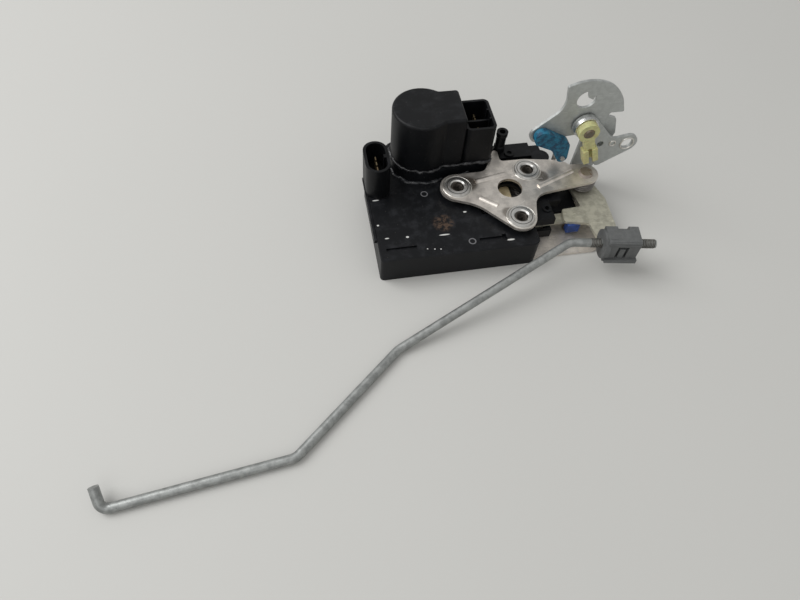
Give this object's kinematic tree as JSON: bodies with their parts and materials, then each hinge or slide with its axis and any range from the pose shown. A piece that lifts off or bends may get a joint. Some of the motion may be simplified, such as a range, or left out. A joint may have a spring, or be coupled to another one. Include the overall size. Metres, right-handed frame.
{
  "type": "door latch actuator",
  "caption": "Vehicle door latch with fork bolt, detent, release and lock levers, power lock drive in a moulded case, two connectors and a bent release rod on a snap clip.",
  "frame": {"origin": "on the mounting face, on the axis of the bush that carries the fork", "axes": "+Z from the mounting face into the door, +Y towards the mouth of the striker slot, +X along the row of levers, away from the power drive"},
  "size_m": [0.3413, 0.2195, 0.0886],
  "materials": {
    "zinc_plate": "zinc plated, worn",
    "case_plastic": "moulded, satin",
    "connector_plastic": "moulded, satin",
    "bush_steel": "turned",
    "lever_zinc": "zinc plated, worn",
    "lever_galvanised": "galvanised, dull",
    "rod_steel": "galvanised wire",
    "spring_steel": "dark wire",
    "clip_grey": "moulded",
    "clip_blue": "moulded",
    "sleeve_blue": "moulded",
    "clip_natural": "moulded",
    "guide_cream": "moulded",
    "motor_steel": "drawn can",
    "gear_plastic": "moulded",
    "terminal_brass": "tinned",
    "seal_rubber": "cured bead"
  },
  "bodies": {
    "latch": {"face_plate": "zinc_plate", "back_plate": "zinc_plate", "fork_bush": "bush_steel", "detent_bush": "bush_steel", "lifter_bush": "bush_steel", "release_pivot": "bush_steel", "pivot_sleeve": "bush_steel", "spring_core": "bush_steel", "release_spring": "spring_steel", "fork_spring": "spring_steel", "detent_spring": "spring_steel", "case": "case_plastic", "bottom_cover": "case_plastic", "carrier": "case_plastic", "harness_post": "case_plastic", "striker_guide": "guide_cream", "motor_cover": "case_plastic", "cover_seal": "seal_rubber", "lock_motor": "motor_steel", "main_connector": "connector_plastic", "main_terminals": "terminal_brass", "side_connector": "connector_plastic", "side_terminals": "terminal_brass", "lever_bracket": "lever_galvanised", "bracket_rivets": "bush_steel", "lever_pin": "bush_steel", "bracket_washer": "bush_steel", "middle_washer": "bush_steel", "cup_washer": "bush_steel"},
    "fork": {"fork_bolt": "lever_zinc"},
    "detent": {"detent": "lever_zinc"},
    "lifter": {"lifter_lever": "lever_zinc"},
    "release": {"release_lever": "lever_zinc", "tab_sleeve": "sleeve_blue"},
    "rod": {"release_rod": "rod_steel", "rod_clip": "clip_grey"},
    "lock": {"lock_lever": "lever_galvanised"},
    "inside": {"inside_lever": "lever_galvanised"},
    "link": {"link_clip": "clip_blue", "link_wire": "rod_steel"},
    "holder": {"rod_holder": "clip_natural"},
    "gear": {"drive_gear": "gear_plastic", "output_pinion": "gear_plastic"},
    "pinion": {"motor_pinion": "gear_plastic"},
    "slider": {"lock_slider": "gear_plastic"}
  },
  "joints": [
    {"name": "fork_turn", "type": "hinge", "parent": "latch", "child": "fork", "pos_m": [0, 0, 0.0055], "axis": [0, 0, 1], "range_deg": [0, 75], "stiffness_Nm_per_rad": 0.12, "springref_deg": -17.19},
    {"name": "detent_turn", "type": "hinge", "parent": "latch", "child": "detent", "pos_m": [-0.049, -0.0087, 0.0055], "axis": [0, 0, -1], "range_deg": [-11, 0]},
    {"name": "release_turn", "type": "hinge", "parent": "latch", "child": "release", "pos_m": [0.0384, -0.008, 0.013], "axis": [0, 0, -1], "range_deg": [0, 15], "stiffness_Nm_per_rad": 0.4, "springref_deg": -8.59},
    {"name": "lifter_turn", "type": "hinge", "parent": "latch", "child": "lifter", "pos_m": [-0.0147, -0.0385, 0.01], "axis": [0, 0, 1], "range_deg": [0, 12]},
    {"name": "rod_swing", "type": "hinge", "parent": "release", "child": "rod", "pos_m": [0.041, -0.066, 0.013], "axis": [0, 0, 1], "range_deg": [0, 15]},
    {"name": "lock_turn", "type": "hinge", "parent": "latch", "child": "lock", "pos_m": [0.0326, 0, 0.0565], "axis": [0, 1, 0], "range_deg": [0, 20]},
    {"name": "inside_turn", "type": "hinge", "parent": "latch", "child": "inside", "pos_m": [0.0326, 0, 0.0565], "axis": [0, 1, 0], "range_deg": [0, 15], "stiffness_Nm_per_rad": 0.05, "springref_deg": -11.46},
    {"name": "link_swing", "type": "hinge", "parent": "lock", "child": "link", "pos_m": [0.0046, 0.005, 0.0502], "axis": [0, 1, 0], "range_deg": [-20, 0]},
    {"name": "holder_swing", "type": "hinge", "parent": "latch", "child": "holder", "pos_m": [0.0326, 0, 0.0565], "axis": [0, 1, 0], "range_deg": [-15, 15]},
    {"name": "gear_turn", "type": "hinge", "parent": "latch", "child": "gear", "pos_m": [-0.0765, 0.00662, 0.011], "axis": [0, 0, -1], "range_deg": [0, 114.59]},
    {"name": "motor_turn", "type": "hinge", "parent": "latch", "child": "pinion", "pos_m": [-0.068, 0.0238, 0.011], "axis": [0, 0, 1], "range_deg": [0, 343.78]},
    {"name": "slider_travel", "type": "slide", "parent": "latch", "child": "slider", "axis": [1, 0, 0], "range_m": [0, 0.01]}
  ],
  "couplings": [
    {"joint": "lifter_turn", "follows": "release_turn", "ratio": 0.8},
    {"joint": "rod_swing", "follows": "release_turn", "ratio": 1},
    {"joint": "motor_turn", "follows": "gear_turn", "ratio": 3},
    {"joint": "slider_travel", "follows": "gear_turn", "m_per_rad": 0.005},
    {"joint": "lock_turn", "follows": "gear_turn", "ratio": 0.17453},
    {"joint": "link_swing", "follows": "gear_turn", "ratio": -0.17453}
  ]
}
